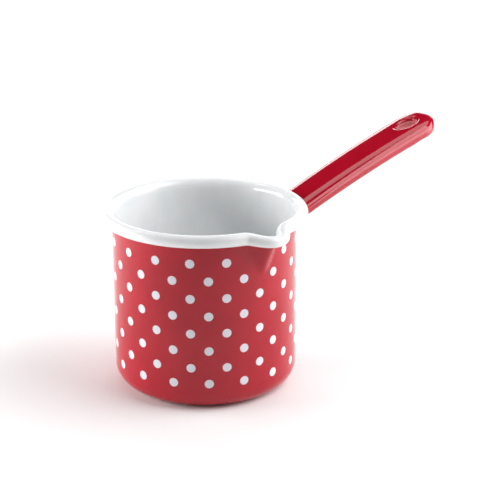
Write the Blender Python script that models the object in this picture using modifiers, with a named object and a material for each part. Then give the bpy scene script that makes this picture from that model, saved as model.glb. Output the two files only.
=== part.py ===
"""Enamelled pouring pot with a pressed spout and a hollow handle.

The origin is on the pot's axis, in the plane that it stands on. +Z is up, +X is the side of the
handle and -Y the side of the spout. Sizes are in metres.
"""

import math

import bmesh
import bpy
import numpy as np
from mathutils import Matrix

# The can: outer sizes of the finished, enamelled pot
WALL_RADIUS = 0.060
POT_HEIGHT = 0.1194
BASE_CORNER_RADIUS = 0.0128

# The rolled rim
BEAD_RADIUS = 0.00405
BEAD_CENTRE_RADIUS = 0.06345
BEAD_CURL = math.radians(210)
FLARE_HEIGHT = 0.0065
FLARE_START = POT_HEIGHT - FLARE_HEIGHT

# The layers of the wall, from the white side to the red side
ENAMEL = 0.0003
GAP = 0.00025
CAN_SHEET = 0.0004
STEEL_DEPTH = ENAMEL + GAP
JACKET_DEPTH = STEEL_DEPTH + CAN_SHEET + GAP
WALL_THICKNESS = JACKET_DEPTH + ENAMEL

# The spout: how far the lip runs out and dips, and the groove that is pressed into the wall below it
SPOUT_ANGLE = math.radians(-90)
SPOUT_REACH = 0.0103
SPOUT_HALF_ANGLE = math.radians(18.8)
SPOUT_LIP_DIP = 0.0023
SPOUT_DIP_START = 0.100
GROOVE_BOTTOM = 0.088
GROOVE_TOP = 0.112
GROOVE_CURVE = 1.2
GROOVE_NARROWING = 0.65

# The mesh of the can: points are closer together at the spout
CAN_STEPS = 44
SPOUT_CROWDING = 0.4
CORNER_STEPS = 3
FLARE_STEPS = 2
CURL_STEPS = 6
WALL_HEIGHTS = (0.060, 0.088, 0.097, 0.105)

# The handle: its middle line is an arch in the plane Y = 0
ARCH_MIDDLE = 0.150
ARCH_HEIGHT = 0.1280
ARCH_SLOPE = 0.305
ARCH_BEND = -0.5
HANDLE_TIP = 0.2058
HANDLE_START = 0.0520
ROOT_HALF_WIDTH = 0.0145
TIP_HALF_WIDTH = 0.0160
ROOT_HALF_THICKNESS = 0.0056
TIP_HALF_THICKNESS = 0.0070
SECTION_POWER = 2.8
TIP_ROUNDING = 0.0190
EDGE_ROUNDING = 0.0070
HANDLE_SHEET = 0.0008
HANDLE_DEPTH = ENAMEL + GAP

# The weld round the handle's edge, and its clearance to the two halves
WELD_HALF_HEIGHT = 0.0002
WELD_CLEARANCE = 0.0008

# The hanging hole, where the two halves are pressed together
HOLE_CENTRE = 0.1843
HOLE_HALF_LENGTH = 0.0077
HOLE_HALF_WIDTH = 0.0053
HOLE_STEPS = 28
PINCH_THICKNESS = 0.0030
TOP_DIP = 0.0008
TOP_DISH = (0.0115, 0.0085)
UNDER_DISH = (0.0185, 0.0155)
FLAT_MARGIN = 0.0022

# The vent hole in the handle's underside
VENT_PLACE = 0.085
VENT_RADIUS = 0.0015
VENT_STEPS = 16

# Where the handle's pieces end, as distances from the pot's axis
ROOT_WELD_START = 0.05975
ROOT_WELD_END = 0.06040
SHELL_START = 0.06075
ENAMEL_START = 0.06030
ROOT_GAP = 0.0003

# The mesh of the handle
TOP_COLUMNS = 8
HALF_COLUMNS = TOP_COLUMNS + 3
LENGTH_ROWS = 11
HOLE_ROWS = 8
TIP_ROWS = 5
ROWS = LENGTH_ROWS + HOLE_ROWS + TIP_ROWS
ROOT_ROWS = 2
SHELL_END_ROWS = 3
CYLINDER_STEPS = 96


def clear_scene():
    for obj in list(bpy.data.objects):
        bpy.data.objects.remove(obj, do_unlink=True)


def new_collection(name, hidden=False):
    collection = bpy.data.collections.new(name)
    collection.hide_render = hidden
    bpy.context.scene.collection.children.link(collection)
    return collection


def new_material(name, colour, roughness, metallic):
    material = bpy.data.materials.new(name)
    material.use_nodes = True
    shader = material.node_tree.nodes["Principled BSDF"]
    shader.inputs["Base Color"].default_value = (*colour, 1)
    shader.inputs["Roughness"].default_value = roughness
    shader.inputs["Metallic"].default_value = metallic
    return material


def new_object(name, mesh, collection, material=None):
    obj = bpy.data.objects.new(name, mesh)
    collection.objects.link(obj)
    if material:
        mesh.materials.append(material)
        mesh.shade_smooth()
        mesh.set_sharp_from_angle(angle=math.radians(40))
    return obj


def new_cutter(name, mesh):
    obj = new_object(name, mesh, CUTTERS)
    obj.hide_render = True
    obj.display_type = "WIRE"
    return obj


def thicken(obj, thickness):
    """Gives an open surface its thickness, on the side its faces point away from."""
    solidify = obj.modifiers.new("sheet thickness", "SOLIDIFY")
    solidify.thickness = thickness
    solidify.offset = -1
    solidify.use_even_offset = False
    solidify.use_rim = True


def moved_inwards(surface, depth):
    """A copy of a surface with each point moved against its normal."""
    mesh = surface.copy()
    points = np.empty(len(mesh.vertices) * 3)
    mesh.vertices.foreach_get("co", points)
    normals = np.empty(len(mesh.vertices) * 3)
    mesh.vertex_normals.foreach_get("vector", normals)
    mesh.vertices.foreach_set("co", points - depth * normals)
    mesh.update()
    return mesh


def combine(obj, operation, other, solver="EXACT"):
    boolean = obj.modifiers.new(f"{operation.lower()} {other.name}", "BOOLEAN")
    boolean.operation = operation
    boolean.object = other
    boolean.solver = solver


# ---------------------------------------------------------------- the can


def arc(centre_radius, centre_height, across, upright, start, end, steps):
    """Points on an ellipse's arc, without its first point."""
    return [
        (
            centre_radius + across * math.cos(start + (end - start) * i / steps),
            centre_height + upright * math.sin(start + (end - start) * i / steps),
        )
        for i in range(1, steps + 1)
    ]


def wall_profile():
    """The inside of the base and the wall, from the base's centre to where the rim flares out."""
    inner = WALL_RADIUS - WALL_THICKNESS
    corner = BASE_CORNER_RADIUS - WALL_THICKNESS
    points = [(0.0, WALL_THICKNESS), (inner - corner, WALL_THICKNESS)]
    points += arc(
        inner - corner, BASE_CORNER_RADIUS, corner, corner, -math.pi / 2, 0, CORNER_STEPS
    )
    return points + [(inner, height) for height in (*WALL_HEIGHTS, FLARE_START)]


def rim_profile():
    """The flare, and the bead that curls out, down and under."""
    inner = WALL_RADIUS - WALL_THICKNESS
    points = arc(
        BEAD_CENTRE_RADIUS,
        FLARE_START,
        BEAD_CENTRE_RADIUS - inner,
        FLARE_HEIGHT,
        math.pi,
        math.pi / 2,
        FLARE_STEPS,
    )
    points += arc(
        BEAD_CENTRE_RADIUS,
        POT_HEIGHT - BEAD_RADIUS,
        BEAD_RADIUS,
        BEAD_RADIUS,
        math.pi / 2,
        math.pi / 2 - BEAD_CURL,
        CURL_STEPS,
    )
    return points


def shaped_can(points):
    """Carries the turned can's points to the pot with its spout.

    The lip's outline runs out from the wall's circle by a raised cosine's square, and each point
    keeps its distance to that outline, measured square to it. The groove narrows and fades down the wall.
    """
    radius = np.hypot(points[:, 0], points[:, 1])
    turn = np.arctan2(points[:, 1], points[:, 0]) - SPOUT_ANGLE
    turn = (turn + math.pi) % (2 * math.pi) - math.pi
    turn = turn - SPOUT_CROWDING * np.sin(turn)
    height = points[:, 2]
    share = np.clip((height - GROOVE_BOTTOM) / (GROOVE_TOP - GROOVE_BOTTOM), 0, 1)
    share = share**GROOVE_CURVE
    half_angle = SPOUT_HALF_ANGLE * (1 - GROOVE_NARROWING + GROOVE_NARROWING * share)
    place = np.clip(turn / half_angle, -1, 1)
    wave = 0.5 + 0.5 * np.cos(math.pi * place)
    bulge = wave**2
    reach = SPOUT_REACH * share * bulge
    slope = -SPOUT_REACH * share * wave * math.pi / half_angle * np.sin(math.pi * place)
    angle = turn + SPOUT_ANGLE
    outward = np.stack([np.cos(angle), np.sin(angle)], 1)
    along = np.stack([-np.sin(angle), np.cos(angle)], 1)
    outline = (WALL_RADIUS + reach)[:, None]
    square = outline * outward - slope[:, None] * along
    square /= np.linalg.norm(square, axis=1)[:, None]
    flat = outline * outward + (radius - WALL_RADIUS)[:, None] * square
    dip_share = (height - SPOUT_DIP_START) / (POT_HEIGHT - SPOUT_DIP_START)
    dip = SPOUT_LIP_DIP * bulge * np.clip(dip_share, 0, 1)
    return np.column_stack([flat, height - dip])


def can_surface(profile):
    """A turned profile with the spout pressed in, its faces pointing to the white side."""
    mesh = bpy.data.meshes.new("can profile")
    edges = [(i, i + 1) for i in range(len(profile) - 1)]
    mesh.from_pydata([(r, 0, z) for r, z in profile], edges, [])
    turned = new_cutter("can profile", mesh)
    screw = turned.modifiers.new("turned can", "SCREW")
    screw.axis = "Z"
    screw.steps = CAN_STEPS
    screw.render_steps = CAN_STEPS
    screw.use_merge_vertices = True
    screw.merge_threshold = 0.00001
    bpy.context.view_layer.update()
    graph = bpy.context.evaluated_depsgraph_get()
    surface = bpy.data.meshes.new_from_object(turned.evaluated_get(graph))
    bpy.data.objects.remove(turned)
    points = np.empty(len(surface.vertices) * 3)
    surface.vertices.foreach_get("co", points)
    surface.vertices.foreach_set("co", shaped_can(points.reshape(-1, 3)).ravel())
    editor = bmesh.new()
    editor.from_mesh(surface)
    bmesh.ops.triangulate(editor, faces=editor.faces)
    editor.to_mesh(surface)
    editor.free()
    return surface


def can_layer(name, surface, depth, thickness, material):
    """One layer of the can: the white surface moved into the wall by depth."""
    mesh = moved_inwards(surface, depth)
    layer = new_object(name, mesh, PARTS, material)
    thicken(layer, thickness)
    return layer


# ---------------------------------------------------------------- the handle


def handle_stations():
    """Distances from the pot's axis at which the handle's sections stand, root to tip."""
    hole_start = HOLE_CENTRE - UNDER_DISH[0]
    hole_end = HOLE_CENTRE + HOLE_HALF_LENGTH + FLAT_MARGIN
    tip = np.sin(np.linspace(0, math.pi / 2, TIP_ROWS + 1)[1:])
    return np.concatenate(
        [
            np.linspace(HANDLE_START, hole_start, LENGTH_ROWS, endpoint=False),
            np.linspace(hole_start, hole_end, HOLE_ROWS + 1),
            hole_end + (HANDLE_TIP - hole_end) * tip,
        ]
    )


def handle_angles():
    """Angles round the handle's section: the edge weld's strips, then the top and the underside."""

    def angle_at(height):
        return math.asin((height / ROOT_HALF_THICKNESS) ** (SECTION_POWER / 2))

    weld = angle_at(WELD_HALF_HEIGHT)
    edge = angle_at(WELD_CLEARANCE)
    top = np.linspace(edge, math.pi - edge, TOP_COLUMNS + 1)
    half = np.concatenate([[-weld, weld], top])
    return np.append(np.concatenate([half, half + math.pi]), 2 * math.pi - weld)


def fade(distance, start):
    """1 up to start, then down to 0 at 1 along half a cosine wave."""
    return 0.5 + 0.5 * np.cos(math.pi * np.clip((distance - start) / (1 - start), 0, 1))


def pressed(along, across, height):
    """Height in the section once the two halves are pressed together round the hanging hole."""

    def distance(reach):
        return np.hypot((along - HOLE_CENTRE) / reach[0], across / reach[1])

    flat = (HOLE_HALF_LENGTH + FLAT_MARGIN) / TOP_DISH[0]
    level = TIP_HALF_THICKNESS - TOP_DIP
    top_share = fade(distance(TOP_DISH), flat)
    under_share = fade(distance(UNDER_DISH), flat * TOP_DISH[0] / UNDER_DISH[0])
    top = height + top_share * (level - height)
    under = height + under_share * (level - PINCH_THICKNESS - height)
    return np.where(height > 0, top, under)


def handle_points():
    """Points of the handle's outside, in rows along it and columns round it.

    Each section is a superellipse across the arch. Its half width falls to nothing at the tip along
    a long ellipse, and its half thickness along a short one.
    """
    along = handle_stations()[:, None]
    turn = handle_angles()[None, :]
    share = (along - WALL_RADIUS) / (HANDLE_TIP - WALL_RADIUS)
    tip_place = np.clip((along - HANDLE_TIP + TIP_ROUNDING) / TIP_ROUNDING, 0, 1)
    edge_place = np.clip((along - HANDLE_TIP + EDGE_ROUNDING) / EDGE_ROUNDING, 0, 1)
    half_width = ROOT_HALF_WIDTH + (TIP_HALF_WIDTH - ROOT_HALF_WIDTH) * share
    half_width = half_width * np.sqrt(1 - tip_place**2)
    half_thickness = ROOT_HALF_THICKNESS + (TIP_HALF_THICKNESS - ROOT_HALF_THICKNESS) * share
    half_thickness = half_thickness * np.sqrt(1 - edge_place**2)
    power = 2 / SECTION_POWER
    across = half_width * np.sign(np.cos(turn)) * np.abs(np.cos(turn)) ** power
    height = half_thickness * np.sign(np.sin(turn)) * np.abs(np.sin(turn)) ** power
    height = pressed(along, across, height)
    slope = arch_slope(along)
    return np.stack(
        [along - np.sin(slope) * height, across, arch_height(along) + np.cos(slope) * height],
        axis=-1,
    )


def arch_height(along):
    offset = along - ARCH_MIDDLE
    return ARCH_HEIGHT + ARCH_SLOPE * offset + ARCH_BEND * offset**2


def arch_slope(along):
    return np.arctan(ARCH_SLOPE + 2 * ARCH_BEND * (along - ARCH_MIDDLE))


def handle_surface():
    """The handle's outside as a mesh: a flat grid, its rows along the handle and its columns round it.

    Each face remembers its row and its column.
    """
    points = handle_points()
    rows, columns = points.shape[0] - 1, points.shape[1] - 1
    editor = bmesh.new()
    row_of = editor.faces.layers.int.new("row")
    column_of = editor.faces.layers.int.new("column")
    bmesh.ops.create_grid(editor, x_segments=rows, y_segments=columns, size=1)
    for face in editor.faces:
        centre = face.calc_center_median()
        face[row_of] = int((centre.x + 1) / 2 * rows)
        face[column_of] = int((centre.y + 1) / 2 * columns)
    for vertex in editor.verts:
        row = round((vertex.co.x + 1) / 2 * rows)
        column = round((vertex.co.y + 1) / 2 * columns)
        vertex.co = points[row, column]
    bmesh.ops.remove_doubles(editor, verts=editor.verts, dist=0.000001)
    bmesh.ops.reverse_faces(editor, faces=editor.faces)
    bmesh.ops.triangulate(editor, faces=editor.faces)
    mesh = bpy.data.meshes.new("handle outside")
    editor.to_mesh(mesh)
    editor.free()
    return mesh


def handle_mesh(depth, kept):
    """The handle's outside moved inwards, with only the faces that kept(row, column) says."""
    mesh = moved_inwards(HANDLE_OUTSIDE, depth)
    editor = bmesh.new()
    editor.from_mesh(mesh)
    row_of = editor.faces.layers.int["row"]
    column_of = editor.faces.layers.int["column"]
    unwanted = [face for face in editor.faces if not kept(face[row_of], face[column_of])]
    bmesh.ops.delete(editor, geom=unwanted, context="FACES")
    editor.to_mesh(mesh)
    editor.free()
    return mesh


def everywhere(row, column):
    return True


def root_only(row, column):
    return row < ROOT_ROWS


def on_weld(row, column):
    return column % HALF_COLUMNS == 0 or row == ROWS - 1


def on_top(row, column):
    return 2 <= column < HALF_COLUMNS - 1 and row < ROWS - SHELL_END_ROWS


def underneath(row, column):
    return on_top(row, column - HALF_COLUMNS)


def handle_piece(name, depth, thickness, kept, start, material):
    """A sheet of the handle that starts at the given distance from the pot's axis."""
    piece = new_object(name, handle_mesh(depth, kept), PARTS, material)
    thicken(piece, thickness)
    combine(piece, "DIFFERENCE", upright_cylinder(f"{name} start", start), "MANIFOLD")
    return piece


def upright_cylinder(name, radius):
    editor = bmesh.new()
    bmesh.ops.create_cone(
        editor,
        cap_ends=True,
        segments=CYLINDER_STEPS,
        radius1=radius,
        radius2=radius,
        depth=4 * POT_HEIGHT,
    )
    mesh = bpy.data.meshes.new(name)
    editor.to_mesh(mesh)
    editor.free()
    return new_cutter(name, mesh)


def handle_plug(name, depth):
    """A solid that fills the handle's root, to cut its place out of the red jacket."""
    mesh = handle_mesh(depth, root_only)
    editor = bmesh.new()
    editor.from_mesh(mesh)
    bmesh.ops.holes_fill(editor, edges=editor.edges, sides=0)
    bmesh.ops.recalc_face_normals(editor, faces=editor.faces)
    editor.to_mesh(mesh)
    editor.free()
    return new_cutter(name, mesh)


def hole_frame(height):
    """Place and tilt of the hanging hole, at a height above the arch."""
    slope = float(arch_slope(HOLE_CENTRE))
    lift = Matrix.Translation((0, 0, height))
    tilt = Matrix.Rotation(-slope, 4, "Y")
    place = Matrix.Translation((HOLE_CENTRE, 0, float(arch_height(HOLE_CENTRE))))
    return place @ tilt @ lift


def oval(name, outside, low, high, inside=None):
    """An oval plate or ring square to the handle, grown by outside and holed by inside."""
    editor = bmesh.new()
    rings = []
    for growth in (outside, inside):
        if growth is None:
            continue
        ring = bmesh.ops.create_circle(editor, cap_ends=False, segments=HOLE_STEPS, radius=1)
        scale = (HOLE_HALF_LENGTH + growth, HOLE_HALF_WIDTH + growth, 1)
        bmesh.ops.scale(editor, vec=scale, verts=ring["verts"])
        rings.append(ring["verts"])
    if inside is None:
        bmesh.ops.contextual_create(editor, geom=list(editor.verts))
    else:
        bmesh.ops.bridge_loops(editor, edges=list(editor.edges))
    raised = bmesh.ops.extrude_face_region(editor, geom=list(editor.faces))
    corners = [item for item in raised["geom"] if isinstance(item, bmesh.types.BMVert)]
    bmesh.ops.translate(editor, vec=(0, 0, high - low), verts=corners)
    bmesh.ops.recalc_face_normals(editor, faces=editor.faces)
    mesh = bpy.data.meshes.new(name)
    editor.to_mesh(mesh)
    editor.free()
    mesh.transform(hole_frame(low))
    return mesh


def vent_cutter():
    editor = bmesh.new()
    bmesh.ops.create_cone(
        editor,
        cap_ends=True,
        segments=VENT_STEPS,
        radius1=VENT_RADIUS,
        radius2=VENT_RADIUS,
        depth=3 * ROOT_HALF_THICKNESS,
    )
    mesh = bpy.data.meshes.new("vent hole")
    editor.to_mesh(mesh)
    editor.free()
    below = float(arch_height(VENT_PLACE)) - 2 * ROOT_HALF_THICKNESS
    mesh.transform(Matrix.Translation((VENT_PLACE, 0, below)))
    return new_cutter("vent hole", mesh)


# ---------------------------------------------------------------- the object

clear_scene()
PARTS = new_collection("pouring_pot")
CUTTERS = new_collection("cutters", hidden=True)

white = new_material("white enamel", (0.80, 0.82, 0.83), 0.10, 0)
red = new_material("red enamel", (0.50, 0.008, 0.022), 0.10, 0)
handle_red = new_material("handle red enamel", (0.36, 0.004, 0.017), 0.06, 0)
steel = new_material("sheet steel", (0.42, 0.42, 0.43), 0.45, 1)
weld = new_material("weld metal", (0.33, 0.32, 0.31), 0.60, 1)

whole_can = can_surface(wall_profile() + rim_profile())
below_rim = can_surface(wall_profile())
can_layer("white_enamel_lining", whole_can, 0, ENAMEL, white)
can_layer("steel_pot_body", whole_can, STEEL_DEPTH, CAN_SHEET, steel)
jacket = can_layer("red_enamel_jacket", below_rim, JACKET_DEPTH, ENAMEL, red)

HANDLE_OUTSIDE = handle_surface()
level = TIP_HALF_THICKNESS - TOP_DIP
deep = HANDLE_DEPTH + HANDLE_SHEET
vent = vent_cutter()
combine(jacket, "DIFFERENCE", handle_plug("handle plug", GAP))

enamel = handle_piece("handle_enamel", 0, ENAMEL, everywhere, ENAMEL_START, handle_red)
opening = oval("hole in enamel", ENAMEL / 2, level - 2 * PINCH_THICKNESS, level + PINCH_THICKNESS)
combine(enamel, "DIFFERENCE", new_cutter("hole in enamel", opening), "MANIFOLD")
sleeve = oval(
    "enamel in hole", ENAMEL, level - PINCH_THICKNESS + ENAMEL / 3, level - ENAMEL / 3, 0
)
combine(enamel, "UNION", new_cutter("enamel in hole", sleeve), "MANIFOLD")
combine(enamel, "DIFFERENCE", vent, "MANIFOLD")

for name, kept in (("handle_upper_shell", on_top), ("handle_lower_shell", underneath)):
    shell = handle_piece(name, HANDLE_DEPTH, HANDLE_SHEET, kept, SHELL_START, steel)
    opening = oval(
        f"{name} hole", deep + ROOT_GAP, level - 2 * PINCH_THICKNESS, level + PINCH_THICKNESS
    )
    combine(shell, "DIFFERENCE", new_cutter(f"{name} hole", opening))
    if kept is underneath:
        combine(shell, "DIFFERENCE", vent)

handle_piece("handle_edge_weld", HANDLE_DEPTH, HANDLE_SHEET, on_weld, SHELL_START, weld)

root_weld = handle_piece(
    "handle_root_weld", HANDLE_DEPTH, HANDLE_SHEET, root_only, ROOT_WELD_START, weld
)
combine(root_weld, "INTERSECT", upright_cylinder("root weld end", ROOT_WELD_END), "MANIFOLD")

eyelet = oval(
    "hanging_hole_eyelet",
    deep,
    level - PINCH_THICKNESS + HANDLE_DEPTH,
    level - HANDLE_DEPTH,
    HANDLE_DEPTH,
)
new_object("hanging_hole_eyelet", eyelet, PARTS, steel)
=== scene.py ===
# %% [markdown]
# # An enamelled pouring pot for wax
# The real pot is a drawn steel can with a rolled rim, a spout pressed into its wall and a hollow
# handle welded to its side. The steel is coated with glass enamel: white inside and over the rim,
# red outside, with white dots fired onto the red. The CAD model gives every piece its place and its
# size. This lesson rebuilds each piece as a fine surface, gives it an enamel that shines like the
# real one, and lights it with soft boxes.

import math

import bmesh
import bpy
import numpy as np
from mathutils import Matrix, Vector


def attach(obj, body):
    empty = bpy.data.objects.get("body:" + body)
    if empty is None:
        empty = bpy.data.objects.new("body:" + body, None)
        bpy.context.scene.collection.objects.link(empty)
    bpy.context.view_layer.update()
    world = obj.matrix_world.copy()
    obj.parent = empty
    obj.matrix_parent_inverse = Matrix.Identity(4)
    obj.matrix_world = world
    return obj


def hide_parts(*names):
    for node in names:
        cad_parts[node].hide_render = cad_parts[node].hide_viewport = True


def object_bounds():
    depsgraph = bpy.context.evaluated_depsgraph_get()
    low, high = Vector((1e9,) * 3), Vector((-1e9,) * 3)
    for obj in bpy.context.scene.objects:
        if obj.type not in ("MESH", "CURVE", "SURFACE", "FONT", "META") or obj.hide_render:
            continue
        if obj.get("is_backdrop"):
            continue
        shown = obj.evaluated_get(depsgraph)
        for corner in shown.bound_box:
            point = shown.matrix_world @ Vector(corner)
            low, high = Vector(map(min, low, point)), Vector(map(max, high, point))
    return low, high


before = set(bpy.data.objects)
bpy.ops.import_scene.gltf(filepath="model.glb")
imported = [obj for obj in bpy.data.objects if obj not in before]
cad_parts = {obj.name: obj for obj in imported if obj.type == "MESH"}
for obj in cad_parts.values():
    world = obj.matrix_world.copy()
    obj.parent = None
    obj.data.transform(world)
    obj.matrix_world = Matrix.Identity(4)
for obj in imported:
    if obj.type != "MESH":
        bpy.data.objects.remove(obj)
cad_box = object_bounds()
bpy.context.scene.view_settings.view_transform = "Standard"
print("CAD nodes:", sorted(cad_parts))
print("CAD box, mm:", [[round(1000 * value, 2) for value in corner] for corner in cad_box])

# %% [markdown]
# ## Driving sizes
# These are the can's and the handle's main sizes, in metres. They are the same as in the CAD model,
# because both are made from the same formulas. What differs is how finely the formulas are sampled.

# %% Sizes of the can
WALL_RADIUS = 0.060
POT_HEIGHT = 0.1194
BASE_CORNER = 0.0128
BEAD_RADIUS = 0.00405
BEAD_CENTRE = 0.06345
BEAD_CURL = math.radians(210)
FLARE_HEIGHT = 0.0065
FLARE_START = POT_HEIGHT - FLARE_HEIGHT
ENAMEL = 0.0003
GAP = 0.00025
CAN_SHEET = 0.0004
STEEL_DEPTH = ENAMEL + GAP
JACKET_DEPTH = STEEL_DEPTH + CAN_SHEET + GAP
WALL_THICKNESS = JACKET_DEPTH + ENAMEL
INNER_RADIUS = WALL_RADIUS - WALL_THICKNESS

# %% Sizes of the spout
SPOUT_ANGLE = math.radians(-90)
SPOUT_REACH = 0.0103
SPOUT_HALF_ANGLE = math.radians(18.8)
SPOUT_DIP = 0.0023
DIP_START = 0.100
GROOVE_BOTTOM = 0.088
GROOVE_TOP = 0.112
GROOVE_CURVE = 1.2
GROOVE_NARROWING = 0.65

# %% Sizes of the handle
ARCH_MIDDLE = 0.150
ARCH_HEIGHT = 0.1280
ARCH_SLOPE = 0.305
ARCH_BEND = -0.5
HANDLE_TIP = 0.2058
ROOT_HALF_WIDTH = 0.0145
TIP_HALF_WIDTH = 0.0160
ROOT_HALF_THICKNESS = 0.0056
TIP_HALF_THICKNESS = 0.0070
SECTION_POWER = 2.8
TIP_ROUNDING = 0.0190
EDGE_ROUNDING = 0.0070
HANDLE_SHEET = 0.0008
HANDLE_DEPTH = ENAMEL + GAP

# %% Sizes of the hanging hole and the vent hole
HOLE_CENTRE = 0.1843
HOLE_HALF_LENGTH = 0.0077
HOLE_HALF_WIDTH = 0.0053
PINCH_THICKNESS = 0.0030
TOP_DIP = 0.0008
TOP_LEVEL = TIP_HALF_THICKNESS - TOP_DIP
TOP_DISH = (0.0115, 0.0085)
UNDER_DISH = (0.0185, 0.0155)
FLAT_MARGIN = 0.0022
HOLE_ROLL = 0.0014
VENT_CENTRE = 0.085
VENT_RADIUS = 0.0015

# %% [markdown]
# ## From a grid of points to a sheet of metal or glass
# Every piece here is a thin sheet. Each starts as a surface without thickness: numpy works out a
# grid of points, and every cell of the grid becomes a face. A second copy could be made for the
# back of the sheet, but Blender's Solidify modifier already does that, and it closes the edges too.
# The layers of one wall all come from one surface, moved along its own normals, so they nest.

# %% Faces of a grid
def grid_faces(rows, columns, first=0):
    """The four corners of each cell: a point, the next in its row, the one diagonal, the next row's."""
    index = first + np.arange(rows * columns).reshape(rows, columns)
    corners = [index[:-1, :-1], index[:-1, 1:], index[1:, 1:], index[1:, :-1]]
    return np.stack(corners, axis=-1)


def joined(patches):
    """Points and faces of several patches, each a pair of a point grid and a mask of its cells."""
    points, faces, first = [], [], 0
    for grid, kept in patches:
        rows, columns = grid.shape[:2]
        cells = grid_faces(rows, columns, first)
        faces.append(cells[kept] if kept is not None else cells.reshape(-1, 4))
        points.append(grid.reshape(-1, 3))
        first += rows * columns
    return np.concatenate(points), np.concatenate(faces)


# %% A surface whose seams and poles are closed
MERGE_DISTANCE = 2e-6


def surface_mesh(name, patches, towards=None):
    """One mesh from all patches. Points that coincide are merged, and all faces look the same way.

    The first face is made to look along the given direction, and the others follow it.
    """
    points, faces = joined(patches)
    mesh = bpy.data.meshes.new(name)
    mesh.from_pydata(points.tolist(), [], faces.tolist())
    editor = bmesh.new()
    editor.from_mesh(mesh)
    bmesh.ops.remove_doubles(editor, verts=editor.verts, dist=MERGE_DISTANCE)
    bmesh.ops.recalc_face_normals(editor, faces=editor.faces)
    editor.faces.ensure_lookup_table()
    if towards is not None and editor.faces[0].normal.dot(Vector(towards)) < 0:
        bmesh.ops.reverse_faces(editor, faces=editor.faces)
    editor.to_mesh(mesh)
    editor.free()
    return mesh


# %% A sheet at a depth below a surface
SHARP_EDGE = math.radians(50)


def sheet(name, surface, depth, thickness, material, node):
    """The surface moved against its normals by depth, with the given thickness, as a finished piece."""
    mesh = surface.copy()
    mesh.name = name
    points = np.empty(len(mesh.vertices) * 3)
    normals = np.empty(len(mesh.vertices) * 3)
    mesh.vertices.foreach_get("co", points)
    mesh.vertex_normals.foreach_get("vector", normals)
    mesh.vertices.foreach_set("co", points - depth * normals)
    mesh.update()
    mesh.materials.append(material)
    mesh.shade_smooth()
    mesh.set_sharp_from_angle(angle=SHARP_EDGE)
    piece = bpy.data.objects.new(name, mesh)
    bpy.context.scene.collection.objects.link(piece)
    wall = piece.modifiers.new("thickness of the sheet", "SOLIDIFY")
    wall.thickness = thickness
    wall.offset = -1
    wall.use_even_offset = False
    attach(piece, "root")
    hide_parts(node)
    print(f"{name}: {len(mesh.polygons)} cells, {1000 * thickness:.2f} mm thick")
    return piece


# %% [markdown]
# ## Camera
# The camera stands low in front, a metre away, with a long lens. The handle points to the right and
# away from it. Angles of the set-up are easier to read in the camera's own compass, so one number
# turns that compass to the pot's axes.

# %% Camera
VIEW_TURN = math.radians(-39.5)
CAMERA_ELEVATION = math.radians(19.12)
CAMERA_DISTANCE = 1.0134
LOOK_RIGHT = 0.0297
LOOK_HEIGHT = 0.0883
LENS_MM = 111.36
SENSOR_MM = 36


def from_view(right, away, up):
    """A place given as right of, behind and above the pot's foot as the camera sees it."""
    cos, sin = math.cos(VIEW_TURN), math.sin(VIEW_TURN)
    return Vector((right * cos - away * sin, right * sin + away * cos, up))


look_at = from_view(LOOK_RIGHT, 0, LOOK_HEIGHT)
towards_camera = from_view(0, -math.cos(CAMERA_ELEVATION), math.sin(CAMERA_ELEVATION))
camera = bpy.data.objects.new("camera", bpy.data.cameras.new("camera"))
camera.data.lens = LENS_MM
camera.data.sensor_width = SENSOR_MM
camera.location = look_at + CAMERA_DISTANCE * towards_camera
camera.rotation_euler = (-towards_camera).to_track_quat("-Z", "Y").to_euler()
bpy.context.scene.collection.objects.link(camera)
bpy.context.scene.camera = camera
print("camera at", [round(value, 3) for value in camera.location])

# %% [markdown]
# ## Enamel
# Vitreous enamel is glass, fused onto steel at about 800 degrees. It is opaque, very smooth and a
# little wavy, because the molten glass settled unevenly. Wide noise lifts the surface by a few
# hundredths of a millimetre, so straight reflections wander slightly. Finer noise varies the
# roughness, and a third pattern lets the colour go a little deeper where the coat is thick.

# %% Helper for node materials
def new_material(name, roughness, metallic=0.0, specular=0.5):
    """A Principled material and its nodes. What is the same all over is set on the shader itself."""
    material = bpy.data.materials.new(name)
    material.use_nodes = True
    nodes, links = material.node_tree.nodes, material.node_tree.links
    shader = nodes["Principled BSDF"]
    shader.inputs["Roughness"].default_value = roughness
    shader.inputs["Metallic"].default_value = metallic
    shader.inputs["Specular IOR Level"].default_value = specular
    place = nodes.new("ShaderNodeTexCoord").outputs["Object"]
    return material, nodes, links, shader, place


def noise(nodes, links, place, scale, detail=2.0):
    """Soft noise over the piece. A scale of 100 gives lumps of about 10 mm."""
    node = nodes.new("ShaderNodeTexNoise")
    node.inputs["Scale"].default_value = scale
    node.inputs["Detail"].default_value = detail
    links.new(place, node.inputs["Vector"])
    return node.outputs["Fac"]


def between(nodes, links, value, low, high, start=0.35, end=0.65):
    """Carries the noise's usual range, start to end, to the range from low to high."""
    node = nodes.new("ShaderNodeMapRange")
    node.inputs["From Min"].default_value = start
    node.inputs["From Max"].default_value = end
    node.inputs["To Min"].default_value = low
    node.inputs["To Max"].default_value = high
    links.new(value, node.inputs["Value"])
    return node.outputs["Result"]


def mixed(nodes, links, share, first, second):
    """A colour between two, by a share from 0 to 1."""
    node = nodes.new("ShaderNodeMix")
    node.data_type = "RGBA"
    links.new(share, node.inputs["Factor"])
    node.inputs["A"].default_value = (*first, 1)
    node.inputs["B"].default_value = (*second, 1)
    return node.outputs["Result"]


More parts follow.
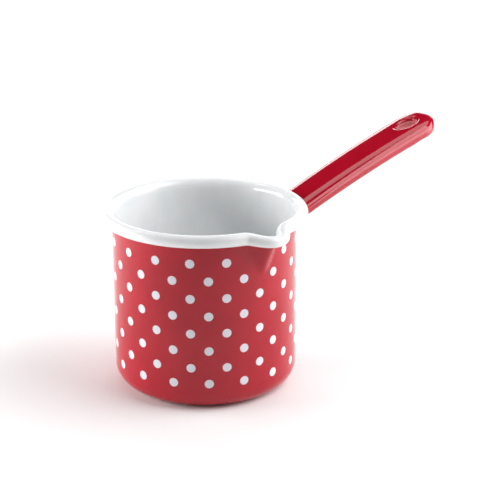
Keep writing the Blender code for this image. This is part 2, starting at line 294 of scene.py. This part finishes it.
# %% Enamel material
def enamel(name, thin, thick, roughness, waviness, specular):
    """Glass enamel: thin and thick are its colours where the coat is thin and thick."""
    material, nodes, links, shader, place = new_material(name, roughness, specular=specular)
    coat = between(nodes, links, noise(nodes, links, place, 55, 3), 0, 1)
    links.new(mixed(nodes, links, coat, thin, thick), shader.inputs["Base Color"])
    matt = between(nodes, links, noise(nodes, links, place, 420, 4), roughness * 0.8, roughness * 1.3)
    links.new(matt, shader.inputs["Roughness"])
    flow = nodes.new("ShaderNodeBump")
    flow.inputs["Strength"].default_value = 1.0
    flow.inputs["Distance"].default_value = waviness
    links.new(noise(nodes, links, place, 70, 1), flow.inputs["Height"])
    peel = nodes.new("ShaderNodeBump")
    peel.inputs["Strength"].default_value = 1.0
    peel.inputs["Distance"].default_value = waviness * 0.08
    links.new(noise(nodes, links, place, 600, 2), peel.inputs["Height"])
    links.new(flow.outputs["Normal"], peel.inputs["Normal"])
    links.new(peel.outputs["Normal"], shader.inputs["Normal"])
    return material


white_enamel = enamel("white enamel", (0.86, 0.875, 0.885), (0.90, 0.91, 0.915), 0.10, 0.00010, 0.5)
red_enamel = enamel("red enamel", (0.44, 0.007, 0.020), (0.40, 0.006, 0.018), 0.10, 0.00008, 0.4)
handle_enamel = enamel("handle enamel", (0.40, 0.004, 0.018), (0.37, 0.003, 0.016), 0.06, 0.00008, 0.5)
dot_enamel = enamel("dot enamel", (0.76, 0.75, 0.81), (0.78, 0.77, 0.83), 0.16, 0.00004, 0.4)

# %% [markdown]
# ## Bare steel
# The steel is hidden by the enamel, except at the cut edge under the rolled rim and inside the vent
# hole. Rolled sheet has a fine grain and small dull patches of scale from the furnace. Weld metal
# is darker and rougher.

# %% Steel materials
def steel(name, bright, scale_colour, roughness, grain):
    """Bare sheet or weld metal, with furnace scale in patches and a fine grain."""
    material, nodes, links, shader, place = new_material(name, roughness, metallic=1.0)
    patches = between(nodes, links, noise(nodes, links, place, 160, 6), 0, 1, 0.45, 0.65)
    links.new(mixed(nodes, links, patches, bright, scale_colour), shader.inputs["Base Color"])
    dull = between(nodes, links, noise(nodes, links, place, 900, 4), roughness * 0.8, roughness * 1.25)
    links.new(dull, shader.inputs["Roughness"])
    bump = nodes.new("ShaderNodeBump")
    bump.inputs["Distance"].default_value = grain
    links.new(noise(nodes, links, place, 1800, 3), bump.inputs["Height"])
    links.new(bump.outputs["Normal"], shader.inputs["Normal"])
    return material


sheet_steel = steel("sheet steel", (0.42, 0.42, 0.43), (0.24, 0.22, 0.21), 0.42, 0.00002)
weld_metal = steel("weld metal", (0.33, 0.32, 0.31), (0.17, 0.15, 0.14), 0.60, 0.00008)

# %% [markdown]
# ## The can's profile
# The can is drawn on a press and spun, so it is round, and its section is one line: across the
# base, round the corner, up the wall, out over the flare and round the bead, whose edge is curled
# under. A round can could be made with the Screw modifier. A grid is used here, because the spout
# is pressed into the same surface afterwards, and a grid can carry both.

# %% Profile of the can
BASE_STEPS, CORNER_STEPS, WALL_STEPS, GROOVE_STEPS, FLARE_STEPS, CURL_STEPS = 10, 16, 24, 30, 14, 40
GROOVE_ZONE = 0.086


def arc(centre_radius, centre_height, across, upright, start, end, steps):
    """Radius and height along an ellipse's arc, from the start angle to the end angle."""
    angle = np.linspace(start, end, steps + 1)
    return np.stack(
        [centre_radius + across * np.cos(angle), centre_height + upright * np.sin(angle)], axis=1
    )


corner = BASE_CORNER - WALL_THICKNESS
flat_radius = INNER_RADIUS - corner
base_line = np.stack(
    [np.linspace(0, flat_radius, BASE_STEPS + 1), np.full(BASE_STEPS + 1, WALL_THICKNESS)], axis=1
)
corner_arc = arc(flat_radius, BASE_CORNER, corner, corner, -math.pi / 2, 0, CORNER_STEPS)
wall_heights = np.concatenate(
    [
        np.linspace(BASE_CORNER, GROOVE_ZONE, WALL_STEPS + 1)[1:],
        np.linspace(GROOVE_ZONE, FLARE_START, GROOVE_STEPS + 1)[1:],
    ]
)
wall_line = np.stack([np.full(len(wall_heights), INNER_RADIUS), wall_heights], axis=1)
below_rim = np.concatenate([base_line, corner_arc[1:], wall_line])
flare_arc = arc(
    BEAD_CENTRE, FLARE_START, BEAD_CENTRE - INNER_RADIUS, FLARE_HEIGHT, math.pi, math.pi / 2, FLARE_STEPS
)
curl_end = math.pi / 2 - BEAD_CURL
curl_arc = arc(
    BEAD_CENTRE, POT_HEIGHT - BEAD_RADIUS, BEAD_RADIUS, BEAD_RADIUS, math.pi / 2, curl_end, CURL_STEPS
)
whole_profile = np.concatenate([below_rim, flare_arc[1:], curl_arc[1:]])
print(f"profile: {len(whole_profile)} points, {len(below_rim)} of them below the rim")

# %% [markdown]
# ## The spout
# A punch presses the spout outwards from inside while the rim is held. The lip then runs out and
# dips a little, and a groove fades down the wall below it. Seen from above, the lip is the circle
# plus the square of a raised cosine, which meets the circle softly. Every point keeps its distance
# to that outline, measured square to it, so the bead keeps its thickness all round the spout.

# %% The can's surface
CAN_COLUMNS = 224
CROWDING = 0.4


def can_points(turn, radius, height):
    """Places on the pot for a turn from the spout, a radius on the round can and a height.

    share is how deep the groove is at this height, and bulge how far the place is into the wave.
    The wave's slope gives the direction square to the outline.
    """
    share = np.clip((height - GROOVE_BOTTOM) / (GROOVE_TOP - GROOVE_BOTTOM), 0, 1) ** GROOVE_CURVE
    half_angle = SPOUT_HALF_ANGLE * (1 - GROOVE_NARROWING + GROOVE_NARROWING * share)
    place = np.clip(turn / half_angle, -1, 1)
    wave = 0.5 + 0.5 * np.cos(math.pi * place)
    bulge = wave**2
    outline = WALL_RADIUS + SPOUT_REACH * share * bulge
    slope = -SPOUT_REACH * share * wave * math.pi / half_angle * np.sin(math.pi * place)
    angle = turn + SPOUT_ANGLE
    outward = np.stack([np.cos(angle), np.sin(angle)], axis=-1)
    along = np.stack([-np.sin(angle), np.cos(angle)], axis=-1)
    square = outline[..., None] * outward - slope[..., None] * along
    square /= np.linalg.norm(square, axis=-1, keepdims=True)
    flat = outline[..., None] * outward + (radius - WALL_RADIUS)[..., None] * square
    dip = SPOUT_DIP * bulge * np.clip((height - DIP_START) / (POT_HEIGHT - DIP_START), 0, 1)
    return np.concatenate([flat, (height - dip)[..., None]], axis=-1)


def can_turns():
    """Turns from the spout, once round. They are closer together at the spout."""
    even = np.linspace(-math.pi, math.pi, CAN_COLUMNS + 1)
    return even - CROWDING * np.sin(even)


def can_grid(profile):
    """The profile carried round the pot: one row for each of its points."""
    turn, radius = np.meshgrid(can_turns(), profile[:, 0])
    height = np.broadcast_to(profile[:, 1][:, None], turn.shape)
    return can_points(turn, radius, height)


# %% Lining and steel body
can_surface = surface_mesh("can surface", [(can_grid(whole_profile), None)], (0, 0, 1))
sheet(
    "white_enamel_lining", can_surface, 0, ENAMEL, white_enamel, "white_enamel_lining"
)
sheet("steel_pot_body", can_surface, STEEL_DEPTH, CAN_SHEET, sheet_steel, "steel_pot_body")

# %% [markdown]
# ## The handle's shape
# The handle is two pressed halves of thin steel, welded along the edge. Its middle line is a low
# arch. Across it, the section is a superellipse, a shape between an ellipse and a rectangle, which
# gives the broad flat top and the tight rounded sides of a pressed handle. Towards the tip the width
# falls along a long ellipse and the thickness along a short one. Round the hanging hole both halves
# are pressed together, as a shallow dish on top and a deep one underneath.

# %% Arch and section
def arch_height(along):
    """Height of the handle's middle line: a parabola."""
    offset = along - ARCH_MIDDLE
    return ARCH_HEIGHT + ARCH_SLOPE * offset + ARCH_BEND * offset**2


def arch_slope(along):
    return np.arctan(ARCH_SLOPE + 2 * ARCH_BEND * (along - ARCH_MIDDLE))


def half_sizes(along):
    """Half the width and half the thickness of the section at a distance from the pot's axis."""
    share = (along - WALL_RADIUS) / (HANDLE_TIP - WALL_RADIUS)
    tip = np.clip((along - HANDLE_TIP + TIP_ROUNDING) / TIP_ROUNDING, 0, 1)
    edge = np.clip((along - HANDLE_TIP + EDGE_ROUNDING) / EDGE_ROUNDING, 0, 1)
    width = (ROOT_HALF_WIDTH + (TIP_HALF_WIDTH - ROOT_HALF_WIDTH) * share) * np.sqrt(1 - tip**2)
    thickness = ROOT_HALF_THICKNESS + (TIP_HALF_THICKNESS - ROOT_HALF_THICKNESS) * share
    return width, thickness * np.sqrt(1 - edge**2)


def fade(distance, start):
    """1 up to start, then down to 0 at 1 along half a cosine wave."""
    return 0.5 + 0.5 * np.cos(math.pi * np.clip((distance - start) / (1 - start), 0, 1))


def pressed(along, across, height):
    """The section's height once the two halves are pressed together round the hanging hole."""
    flat = HOLE_HALF_LENGTH + FLAT_MARGIN
    top_distance = np.hypot((along - HOLE_CENTRE) / TOP_DISH[0], across / TOP_DISH[1])
    under_distance = np.hypot((along - HOLE_CENTRE) / UNDER_DISH[0], across / UNDER_DISH[1])
    top = height + fade(top_distance, flat / TOP_DISH[0]) * (TOP_LEVEL - height)
    under_level = TOP_LEVEL - PINCH_THICKNESS
    under = height + fade(under_distance, flat / UNDER_DISH[0]) * (under_level - height)
    return np.where(height > 0, top, under)


def skin_height(along, across, side):
    """Height of the handle's skin over its middle line, at a place seen from above."""
    width, thickness = half_sizes(along)
    share = np.clip(np.abs(across) / width, 0, 1)
    height = side * thickness * (1 - share**SECTION_POWER) ** (1 / SECTION_POWER)
    return pressed(along, across, height)


def handle_place(along, across, height):
    """The section stands square to the arch."""
    slope = arch_slope(along)
    return np.stack(
        [along - np.sin(slope) * height, across, arch_height(along) + np.cos(slope) * height], axis=-1
    )


# %% [markdown]
# ## The handle's grid
# Rows run along the handle and columns round it. Columns at equal angles would leave wide cells on
# the flat top, so the angles are chosen for equal steps along the section's outline. The first rows
# bend with the pot's wall, so that the handle meets the wall all round its root.

# %% Rows and columns
LENGTH_ROWS, HOLE_ROWS, TIP_ROWS, HANDLE_COLUMNS = 66, 38, 18, 112
ROOT_RADIUS = WALL_RADIUS + 0.00003
BEND_LENGTH = 0.030


def even_angles(columns):
    """Angles round the superellipse with equal steps along its outline."""
    fine = np.linspace(0, 2 * math.pi, 8001)
    power = 2 / SECTION_POWER
    across = ROOT_HALF_WIDTH * np.sign(np.cos(fine)) * np.abs(np.cos(fine)) ** power
    height = ROOT_HALF_THICKNESS * np.sign(np.sin(fine)) * np.abs(np.sin(fine)) ** power
    steps = np.hypot(np.diff(across), np.diff(height))
    length = np.concatenate([[0], np.cumsum(steps)])
    return np.interp(np.linspace(0, length[-1], columns + 1), length, fine)


def stations():
    """Distances from the pot's axis of the handle's rows, closer together at the hole and the tip."""
    hole_start = HOLE_CENTRE - UNDER_DISH[0]
    hole_end = HOLE_CENTRE + HOLE_HALF_LENGTH + FLAT_MARGIN
    tip = np.sin(np.linspace(0, math.pi / 2, TIP_ROWS + 1)[1:])
    return np.concatenate(
        [
            np.linspace(ROOT_RADIUS, hole_start, LENGTH_ROWS, endpoint=False),
            np.linspace(hole_start, hole_end, HOLE_ROWS + 1),
            hole_end + (HANDLE_TIP - hole_end) * tip,
        ]
    )


def handle_plan(root_radius):
    """Distance, offset to the side and height over the arch of every point of the handle's grid."""
    along, turn = np.meshgrid(stations(), even_angles(HANDLE_COLUMNS), indexing="ij")
    power = 2 / SECTION_POWER
    cos, sin = np.cos(turn), np.sin(turn)
    width, thickness = half_sizes(along)
    across = width * np.sign(cos) * np.abs(cos) ** power
    height = thickness * np.sign(sin) * np.abs(sin) ** power
    wall = np.sqrt(root_radius**2 - across**2) + np.sin(arch_slope(along)) * height
    share = np.clip(1 - (along - along[0, 0]) / BEND_LENGTH, 0, 1)
    along = along + share * (wall - along[0, 0])
    width, thickness = half_sizes(along)
    across = width * np.sign(cos) * np.abs(cos) ** power
    height = thickness * np.sign(sin) * np.abs(sin) ** power
    return along, across, pressed(along, across, height)


# %% [markdown]
# ## Cutting a hole into a grid
# A Boolean would leave long thin faces round a hole, and gloss shows them as creases. Instead, a
# block of cells is left out of the grid. A ring of new cells fills it from the block's border in to
# the hole's outline, so all cells stay close to square, and every point is on the true surface.

# %% Border of a block of cells, and the ring inside it
def block_border(row_start, row_end, column_start, column_end):
    """Row and column numbers once round a block of cells, back to the first point."""
    down = np.arange(row_start, row_end)
    right = np.arange(column_start, column_end)
    rows = np.concatenate(
        [down, np.full(len(right), row_end), down[::-1] + 1, np.full(len(right), row_start), [row_start]]
    )
    columns = np.concatenate(
        [
            np.full(len(down), column_start),
            right,
            np.full(len(down), column_end),
            right[::-1] + 1,
            [column_start],
        ]
    )
    return rows, columns


def ring_between(border, outline, steps):
    """Places from a border in to an outline, in equal steps. Both have one point per column."""
    share = np.linspace(0, 1, steps + 1)[:, None, None]
    return border[None] * (1 - share) + outline[None] * share


def kept_cells(grid, block):
    """True for every cell of the grid that isn't in the block (row start, end, column start, end)."""
    kept = np.ones((grid.shape[0] - 1, grid.shape[1] - 1), dtype=bool)
    kept[block[0] : block[1], block[2] : block[3]] = False
    return kept


def block_around(rows_at, columns_at, low, high, left, right):
    """The block of cells that covers the given ranges of the row and column positions."""
    rows = np.flatnonzero((rows_at >= low) & (rows_at <= high))
    columns = np.flatnonzero((columns_at >= left) & (columns_at <= right))
    return rows[0], rows[-1], columns[0], columns[-1]


# %% Oval outlines
def oval(direction, grown, half_length=HOLE_HALF_LENGTH, half_width=HOLE_HALF_WIDTH):
    """Offsets along and across from the oval's centre, in a direction, grown square to its edge."""
    edge = np.stack([half_length * np.cos(direction), half_width * np.sin(direction)], axis=-1)
    square = np.stack([half_width * np.cos(direction), half_length * np.sin(direction)], axis=-1)
    square /= np.linalg.norm(square, axis=-1, keepdims=True)
    return edge + grown * square


# %% [markdown]
# ## The handle's skin as one surface
# The skin has a hole on top and one underneath, which a rolled lip joins into one opening, and the
# small vent hole that lets hot air out in the furnace. The lip is half a circle of the sheet's
# edge: down over a quarter circle, straight down, and out again over a quarter circle.

# %% Ring round a hole in the skin
def skin_ring(plan, block, side, centre, outline_at, steps=9):
    """A ring of the handle's skin from a block's border in to an outline about a centre."""
    rows, columns = block_border(*block)
    border = np.stack([plan[0][rows, columns], plan[1][rows, columns]], axis=-1)
    direction = np.arctan2(border[:, 1] * RING_WEIGHT, border[:, 0] - centre)
    outline = outline_at(direction) + np.array([centre, 0])
    places = ring_between(border, outline, steps)
    along, across = places[..., 0], places[..., 1]
    return handle_place(along, across, skin_height(along, across, side)), direction


# %% Lip of the hanging hole
def hole_lip(direction, roll, top, bottom, steps=9):
    """The strip that lines the hanging hole: a profile of growth and height, carried round the oval."""
    quarter = np.linspace(0, math.pi / 2, steps + 1)
    growth = np.concatenate([roll * (1 - np.sin(quarter)), roll * (1 - np.cos(quarter))])
    height = np.concatenate([top - roll * (1 - np.cos(quarter)), bottom + roll * (1 - np.sin(quarter))])
    return hole_wall(direction, growth, height)


def hole_wall(direction, growth, height):
    """Rows round the hanging hole, each grown and raised by its own amount."""
    offsets = oval(direction[None, :], growth[:, None, None])
    along = HOLE_CENTRE + offsets[..., 0]
    return handle_place(along, offsets[..., 1], np.broadcast_to(height[:, None], along.shape))


# %% Blocks of cells that make room for the holes
RING_WEIGHT = 1.3
HOLE_TURN = 1.1
UNDER_HOLE_TURN = 1.28
HOLE_BLOCK_MARGIN = 0.0017
VENT_BLOCK_REACH = 0.0035
VENT_TURN = 0.12
UNDERSIDE = 1.5 * math.pi
UNDER_LEVEL = TOP_LEVEL - PINCH_THICKNESS
section = even_angles(HANDLE_COLUMNS)
row_at = stations()
reach = HOLE_HALF_LENGTH + HOLE_ROLL + HOLE_BLOCK_MARGIN
hole_rows = (HOLE_CENTRE - reach, HOLE_CENTRE + reach)
top_block = block_around(row_at, section, *hole_rows, HOLE_TURN, math.pi - HOLE_TURN)
# The block underneath starts closer to the hole than it ends, so its ring overlaps itself there.
under_columns = (math.pi + UNDER_HOLE_TURN, 2 * math.pi - HOLE_TURN)
under_block = block_around(row_at, section, *hole_rows, *under_columns)
vent_rows = (VENT_CENTRE - VENT_BLOCK_REACH, VENT_CENTRE + VENT_BLOCK_REACH)
vent_block = block_around(row_at, section, *vent_rows, UNDERSIDE - VENT_TURN, UNDERSIDE + VENT_TURN)
print("blocks of cells:", top_block, under_block, vent_block)


def lip_outline(direction):
    return oval(direction, HOLE_ROLL)


def vent_outline(direction):
    return oval(direction, 0.0, VENT_RADIUS, VENT_RADIUS)


# %% The handle's enamel
plan = handle_plan(ROOT_RADIUS)
skin_grid = handle_place(*plan)
skin_kept = (
    kept_cells(skin_grid, top_block)
    & kept_cells(skin_grid, under_block)
    & kept_cells(skin_grid, vent_block)
)
top_ring, hole_directions = skin_ring(plan, top_block, 1, HOLE_CENTRE, lip_outline)
under_ring, _ = skin_ring(plan, under_block, -1, HOLE_CENTRE, lip_outline)
vent_ring, _ = skin_ring(plan, vent_block, -1, VENT_CENTRE, vent_outline, steps=4)
lip = hole_lip(hole_directions, HOLE_ROLL, TOP_LEVEL, UNDER_LEVEL)
skin = surface_mesh(
    "handle skin",
    [(skin_grid, skin_kept), (top_ring, None), (under_ring, None), (vent_ring, None), (lip, None)],
)
FILLET = 0.0022


def with_fillet(mesh):
    """The enamel pools where the handle meets the wall: a quarter circle, added along the normals."""
    points = np.empty(len(mesh.vertices) * 3)
    normals = np.empty(len(mesh.vertices) * 3)
    mesh.vertices.foreach_get("co", points)
    mesh.vertex_normals.foreach_get("vector", normals)
    points, normals = points.reshape(-1, 3), normals.reshape(-1, 3)
    distance = np.clip(np.hypot(points[:, 0], points[:, 1]) - WALL_RADIUS, 0, FILLET)
    grown = FILLET - np.sqrt(FILLET**2 - (FILLET - distance) ** 2)
    mesh.vertices.foreach_set("co", (points + grown[:, None] * normals).ravel())
    mesh.update()
    return mesh


sheet("handle_enamel", with_fillet(skin), 0, ENAMEL, handle_enamel, "handle_enamel")

# %% [markdown]
# ## The steel inside the handle
# Under the enamel are the two pressed halves, the weld along their edge, the weld at the root and
# the eyelet that lines the hanging hole. They are sealed in, so they are made from the same grid a
# little deeper, and only the parts of it that each piece covers.

# %% Halves of the handle
SHELL_START = 0.06075
SHELL_END_ROWS = 6
CLEARANCE = 0.0008
EYELET_ROOM = 0.0003
deep = HANDLE_DEPTH + HANDLE_SHEET
steel_plan = handle_plan(SHELL_START)
steel_grid = handle_place(*steel_plan)


def shell_outline(direction):
    return oval(direction, deep + EYELET_ROOM)


def half_cells(side):
    """True for the cells of one half that stay clear of the weld along the edge and of the tip."""
    sine = np.sin(section)
    height = ROOT_HALF_THICKNESS * np.sign(sine) * np.abs(sine) ** (2 / SECTION_POWER)
    clear = side * height > CLEARANCE
    kept = np.zeros((steel_grid.shape[0] - 1, steel_grid.shape[1] - 1), dtype=bool)
    kept[:-SHELL_END_ROWS] = (clear[:-1] & clear[1:])[None, :]
    return kept


upper_ring, _ = skin_ring(steel_plan, top_block, 1, HOLE_CENTRE, shell_outline, steps=6)
upper_kept = half_cells(1) & kept_cells(steel_grid, top_block)
upper = surface_mesh("upper half", [(steel_grid, upper_kept), (upper_ring, None)], (0, 0, 1))
sheet(
    "handle_upper_shell", upper, HANDLE_DEPTH, HANDLE_SHEET, sheet_steel, "handle_upper_shell"
)
lower_kept = half_cells(-1) & kept_cells(steel_grid, under_block) & kept_cells(steel_grid, vent_block)
lower_ring, _ = skin_ring(steel_plan, under_block, -1, HOLE_CENTRE, shell_outline, steps=6)
lower = surface_mesh(
    "lower half", [(steel_grid, lower_kept), (lower_ring, None), (vent_ring, None)], (0, 0, -1)
)
sheet(
    "handle_lower_shell", lower, HANDLE_DEPTH, HANDLE_SHEET, sheet_steel, "handle_lower_shell"
)

# %% Welds and eyelet
WELD_HALF_HEIGHT = 0.0002
ROOT_WELD_START, ROOT_WELD_END = 0.05975, 0.06040
one_edge = np.linspace(SHELL_START, HANDLE_TIP - TIP_ROUNDING, 60, endpoint=False)
round_tip = HANDLE_TIP - TIP_ROUNDING * (1 - np.sin(np.linspace(0, math.pi / 2, 25)))
edge_along = np.concatenate([one_edge, round_tip, round_tip[-2::-1], one_edge[::-1]])
edge_side = np.where(np.arange(len(edge_along)) < len(edge_along) // 2, 1, -1)
edge_across = edge_side * half_sizes(edge_along)[0]
edge_height = np.linspace(-WELD_HALF_HEIGHT, WELD_HALF_HEIGHT, 3)
edge_shape = (len(edge_along), len(edge_height))
edge_grid = handle_place(
    np.broadcast_to(edge_along[:, None], edge_shape),
    np.broadcast_to(edge_across[:, None], edge_shape),
    np.broadcast_to(edge_height, edge_shape),
)
edge = surface_mesh("edge weld", [(edge_grid, None)], (0, 1, 0))
sheet("handle_edge_weld", edge, HANDLE_DEPTH, HANDLE_SHEET, weld_metal, "handle_edge_weld")

root_radii = np.linspace(ROOT_WELD_START, ROOT_WELD_END, 3)
root_rows = [handle_place(*handle_plan(radius))[0] for radius in root_radii]
root = surface_mesh("root weld", [(np.stack(root_rows), None)])
sheet("handle_root_weld", root, HANDLE_DEPTH, HANDLE_SHEET, weld_metal, "handle_root_weld")

eyelet_heights = np.linspace(TOP_LEVEL - HANDLE_DEPTH, UNDER_LEVEL + HANDLE_DEPTH, 4)
eyelet_wall = hole_wall(hole_directions, np.full(4, HANDLE_DEPTH), eyelet_heights)
eyelet = surface_mesh("eyelet", [(eyelet_wall, None)])
inwards = Vector((HOLE_CENTRE, 0, 0)) - eyelet.polygons[0].center
if eyelet.polygons[0].normal.x * inwards.x + eyelet.polygons[0].normal.y * inwards.y < 0:
    eyelet.flip_normals()
sheet("hanging_hole_eyelet", eyelet, 0, HANDLE_SHEET, sheet_steel, "hanging_hole_eyelet")

# %% [markdown]
# ## The red jacket
# The jacket is the can's surface without the rim, at the depth of the outermost layer. Where the
# handle is welded to the steel, the jacket has an opening with the outline of the handle's section.
# The opening is made like the hanging hole: a block of cells left out, and a ring that fills it.

# %% Opening for the handle's root
JACKET_RING_STEPS = 7
ROOT_BLOCK_HEIGHT = 0.0085
ROOT_BLOCK_TURN = 0.31
turns = can_turns()
handle_turn = -SPOUT_ANGLE
root_centre = float(arch_height(WALL_RADIUS))


def root_outline(direction):
    """Turn and height on the wall where the handle's section, a little smaller, crosses it."""
    width, thickness = ROOT_HALF_WIDTH - GAP, ROOT_HALF_THICKNESS - GAP
    power = SECTION_POWER
    sideways = np.abs(np.cos(direction) / width) ** power
    upwards = np.abs(np.sin(direction) / thickness) ** power
    reach = (sideways + upwards) ** (-1 / power)
    across, height = reach * np.cos(direction), reach * np.sin(direction)
    wall = np.sqrt(WALL_RADIUS**2 - across**2)
    along = wall + np.sin(arch_slope(wall)) * height
    level = arch_height(along) + np.cos(arch_slope(along)) * height
    return np.stack([handle_turn + np.arcsin(across / WALL_RADIUS), level], axis=-1)


root_block = block_around(
    below_rim[:, 1] + (below_rim[:, 0] < INNER_RADIUS - 1e-9),
    turns,
    root_centre - ROOT_BLOCK_HEIGHT,
    root_centre + ROOT_BLOCK_HEIGHT,
    handle_turn - ROOT_BLOCK_TURN,
    handle_turn + ROOT_BLOCK_TURN,
)
rows, columns = block_border(*root_block)
border = np.stack([turns[columns], below_rim[rows, 1]], axis=-1)
direction = np.arctan2(border[:, 1] - root_centre, (border[:, 0] - handle_turn) * WALL_RADIUS)
places = ring_between(border, root_outline(direction), JACKET_RING_STEPS)
root_ring = can_points(places[..., 0], np.full(places.shape[:2], INNER_RADIUS), places[..., 1])
jacket_grid = can_grid(below_rim)
jacket = surface_mesh(
    "jacket surface", [(jacket_grid, kept_cells(jacket_grid, root_block)), (root_ring, None)], (0, 0, 1)
)
sheet("red_enamel_jacket", jacket, JACKET_DEPTH, ENAMEL, red_enamel, "red_enamel_jacket")
print("opening for the handle: block", root_block, "ring", root_ring.shape)

# %% [markdown]
# ## The white dots
# The dots are a transfer that was fired onto the red enamel, in level rows round the wall. Every
# second row is shifted by half a step. The film starts and ends at the handle. Where the spout is
# pressed, one dot is left out. Each dot is a very flat lens that follows the wall, a few hundredths
# of a millimetre proud of it.

# %% Places of the dots
DOT_RADIUS = 0.00295
DOT_RISE = 0.00004
ROW_STEP = 0.011635
TOP_ROW = 0.088078
TURN_STEP = math.radians(10.992)
FIRST_TURN = math.radians(-125.735)
LOWEST_ROW = 6
LOWEST_ROW_LIFT = 0.0009
SPOUT_CLEARANCE = math.radians(8)
HANDLE_SIDE_CLEARANCE = 0.004
HANDLE_HEIGHT_CLEARANCE = 0.0105
dot_column, dot_row = np.meshgrid(np.arange(-20, 11), np.arange(-1, LOWEST_ROW + 1))
staggered = (dot_column + dot_row) % 2 == 0
dot_column, dot_row = dot_column[staggered], dot_row[staggered]
dot_angle = FIRST_TURN + TURN_STEP * dot_column
dot_height = TOP_ROW - ROW_STEP * dot_row + LOWEST_ROW_LIFT * (dot_row == LOWEST_ROW)
in_spout = (dot_row < 0) & (np.abs(dot_angle - SPOUT_ANGLE) < SPOUT_CLEARANCE)
from_handle = np.abs((dot_angle + math.pi) % (2 * math.pi) - math.pi) * WALL_RADIUS
beside_handle = from_handle < ROOT_HALF_WIDTH + HANDLE_SIDE_CLEARANCE
at_handle = beside_handle & (np.abs(dot_height - root_centre) < HANDLE_HEIGHT_CLEARANCE)
shown = ~(in_spout | at_handle)
dot_angle, dot_height = dot_angle[shown], dot_height[shown]
print(f"{len(dot_angle)} dots of {2000 * DOT_RADIUS:.1f} mm")


# %% The dots as flat lenses
DOT_COLUMNS = 24
DOT_SIZES = np.array([0.0, 0.965, 1.0, 0.0]) * DOT_RADIUS
DOT_RISES = np.array([1.0, 1.0, -0.5, -0.5]) * DOT_RISE
DOT_SHARP_EDGE = math.radians(30)


def dot_grid(angle, height):
    """A dot's rows: middle, edge, edge below the red surface, middle below it. Columns go round it."""
    round_dot = np.linspace(0, 2 * math.pi, DOT_COLUMNS + 1)
    size, rise = DOT_SIZES[:, None], DOT_RISES[:, None]
    turn = angle - SPOUT_ANGLE + size * np.cos(round_dot) / WALL_RADIUS
    turn = (turn + math.pi) % (2 * math.pi) - math.pi
    return can_points(turn, WALL_RADIUS + rise + 0 * turn, height + size * np.sin(round_dot))


dots_mesh = surface_mesh("dots", [(dot_grid(a, z), None) for a, z in zip(dot_angle, dot_height)])
dots_mesh.materials.append(dot_enamel)
dots_mesh.shade_smooth()
dots_mesh.set_sharp_from_angle(angle=DOT_SHARP_EDGE)
dots = bpy.data.objects.new("polka_dots", dots_mesh)
bpy.context.scene.collection.objects.link(dots)
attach(dots, "root")
print(f"dots: {len(dots_mesh.polygons)} cells")

# %% [markdown]
# ## Floor
# The pot stands on a wide, pale, matt floor. It isn't part of the object.

# %% Floor
FLOOR_REACH = 4.0
FLOOR_LEVEL = -0.0002
FLOOR_POINTS = 33
FLOOR_GREY = 0.95
floor_line = np.linspace(-FLOOR_REACH, FLOOR_REACH, FLOOR_POINTS)
floor_x, floor_y = np.meshgrid(floor_line, floor_line)
floor_grid = np.stack([floor_x, floor_y, np.full(floor_x.shape, FLOOR_LEVEL)], axis=-1)
floor_mesh = surface_mesh("floor", [(floor_grid, None)], (0, 0, 1))
floor_material, _, _, floor_shader, _ = new_material("pale floor", 0.9, specular=0.1)
floor_shader.inputs["Base Color"].default_value = (FLOOR_GREY, FLOOR_GREY, FLOOR_GREY, 1)
floor_mesh.materials.append(floor_material)
floor = bpy.data.objects.new("floor", floor_mesh)
bpy.context.scene.collection.objects.link(floor)
floor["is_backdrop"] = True

# %% [markdown]
# ## Light
# Two large soft boxes stand left and right of the pot, low down. They light the sides of the wall
# and leave its middle deep red. A third one hangs high on the right and draws the broad pale band
# along the handle. Two more light the floor behind the pot until it is white. They are placed so
# that the handle's flat top mirrors none of them and keeps its deep colour. A faint even light from
# everywhere fills the last shadows.

# %% Soft boxes
def soft_box(name, place, target, width, height, power):
    """A rectangular area light that looks at its target. Places are given as the camera sees them."""
    light = bpy.data.lights.new(name, "AREA")
    light.shape = "RECTANGLE"
    light.size, light.size_y = width, height
    light.energy = power
    lamp = bpy.data.objects.new(name, light)
    lamp.location = from_view(*place)
    aim = from_view(*target) - lamp.location
    lamp.rotation_euler = aim.to_track_quat("-Z", "Y").to_euler()
    bpy.context.scene.collection.objects.link(lamp)
    print(f"{name}: {power:.1f} W, {width:.1f} by {height:.1f} m")


soft_box("left soft box", (-0.85, 0.05, 0.2), (0, 0, 0.06), width=0.8, height=0.5, power=12.0)
soft_box("right soft box", (0.85, 0.1, 0.25), (0.05, 0, 0.08), width=0.8, height=0.5, power=6.2)
soft_box("high soft box", (0.6, -0.14, 0.74), (0.1, 0, 0.1), width=0.7, height=0.6, power=6.0)
soft_box("back soft box", (0, 0.6, 1.3), (0, 1.3, 0), width=1.8, height=0.8, power=10.5)
soft_box("background light", (0, 1.75, 0.55), (0, 1.2, 0), width=2.2, height=0.5, power=13.0)

EVEN_LIGHT = 0.02
world = bpy.data.worlds.new("even light")
bpy.context.scene.world = world
world.use_nodes = True
world.node_tree.nodes["Background"].inputs["Color"].default_value = (0.9, 0.95, 1.0, 1)
world.node_tree.nodes["Background"].inputs["Strength"].default_value = EVEN_LIGHT

# %% [markdown]
# The visual model is built to the CAD model's size. The sizes of both boxes are printed.

visual_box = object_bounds()
boxes = {
    "cad": [list(corner) for corner in cad_box],
    "visual": [list(corner) for corner in visual_box],
}
for name, (low, high) in boxes.items():
    print(name, "box, mm:", [round(1000 * (b - a), 2) for a, b in zip(low, high)])
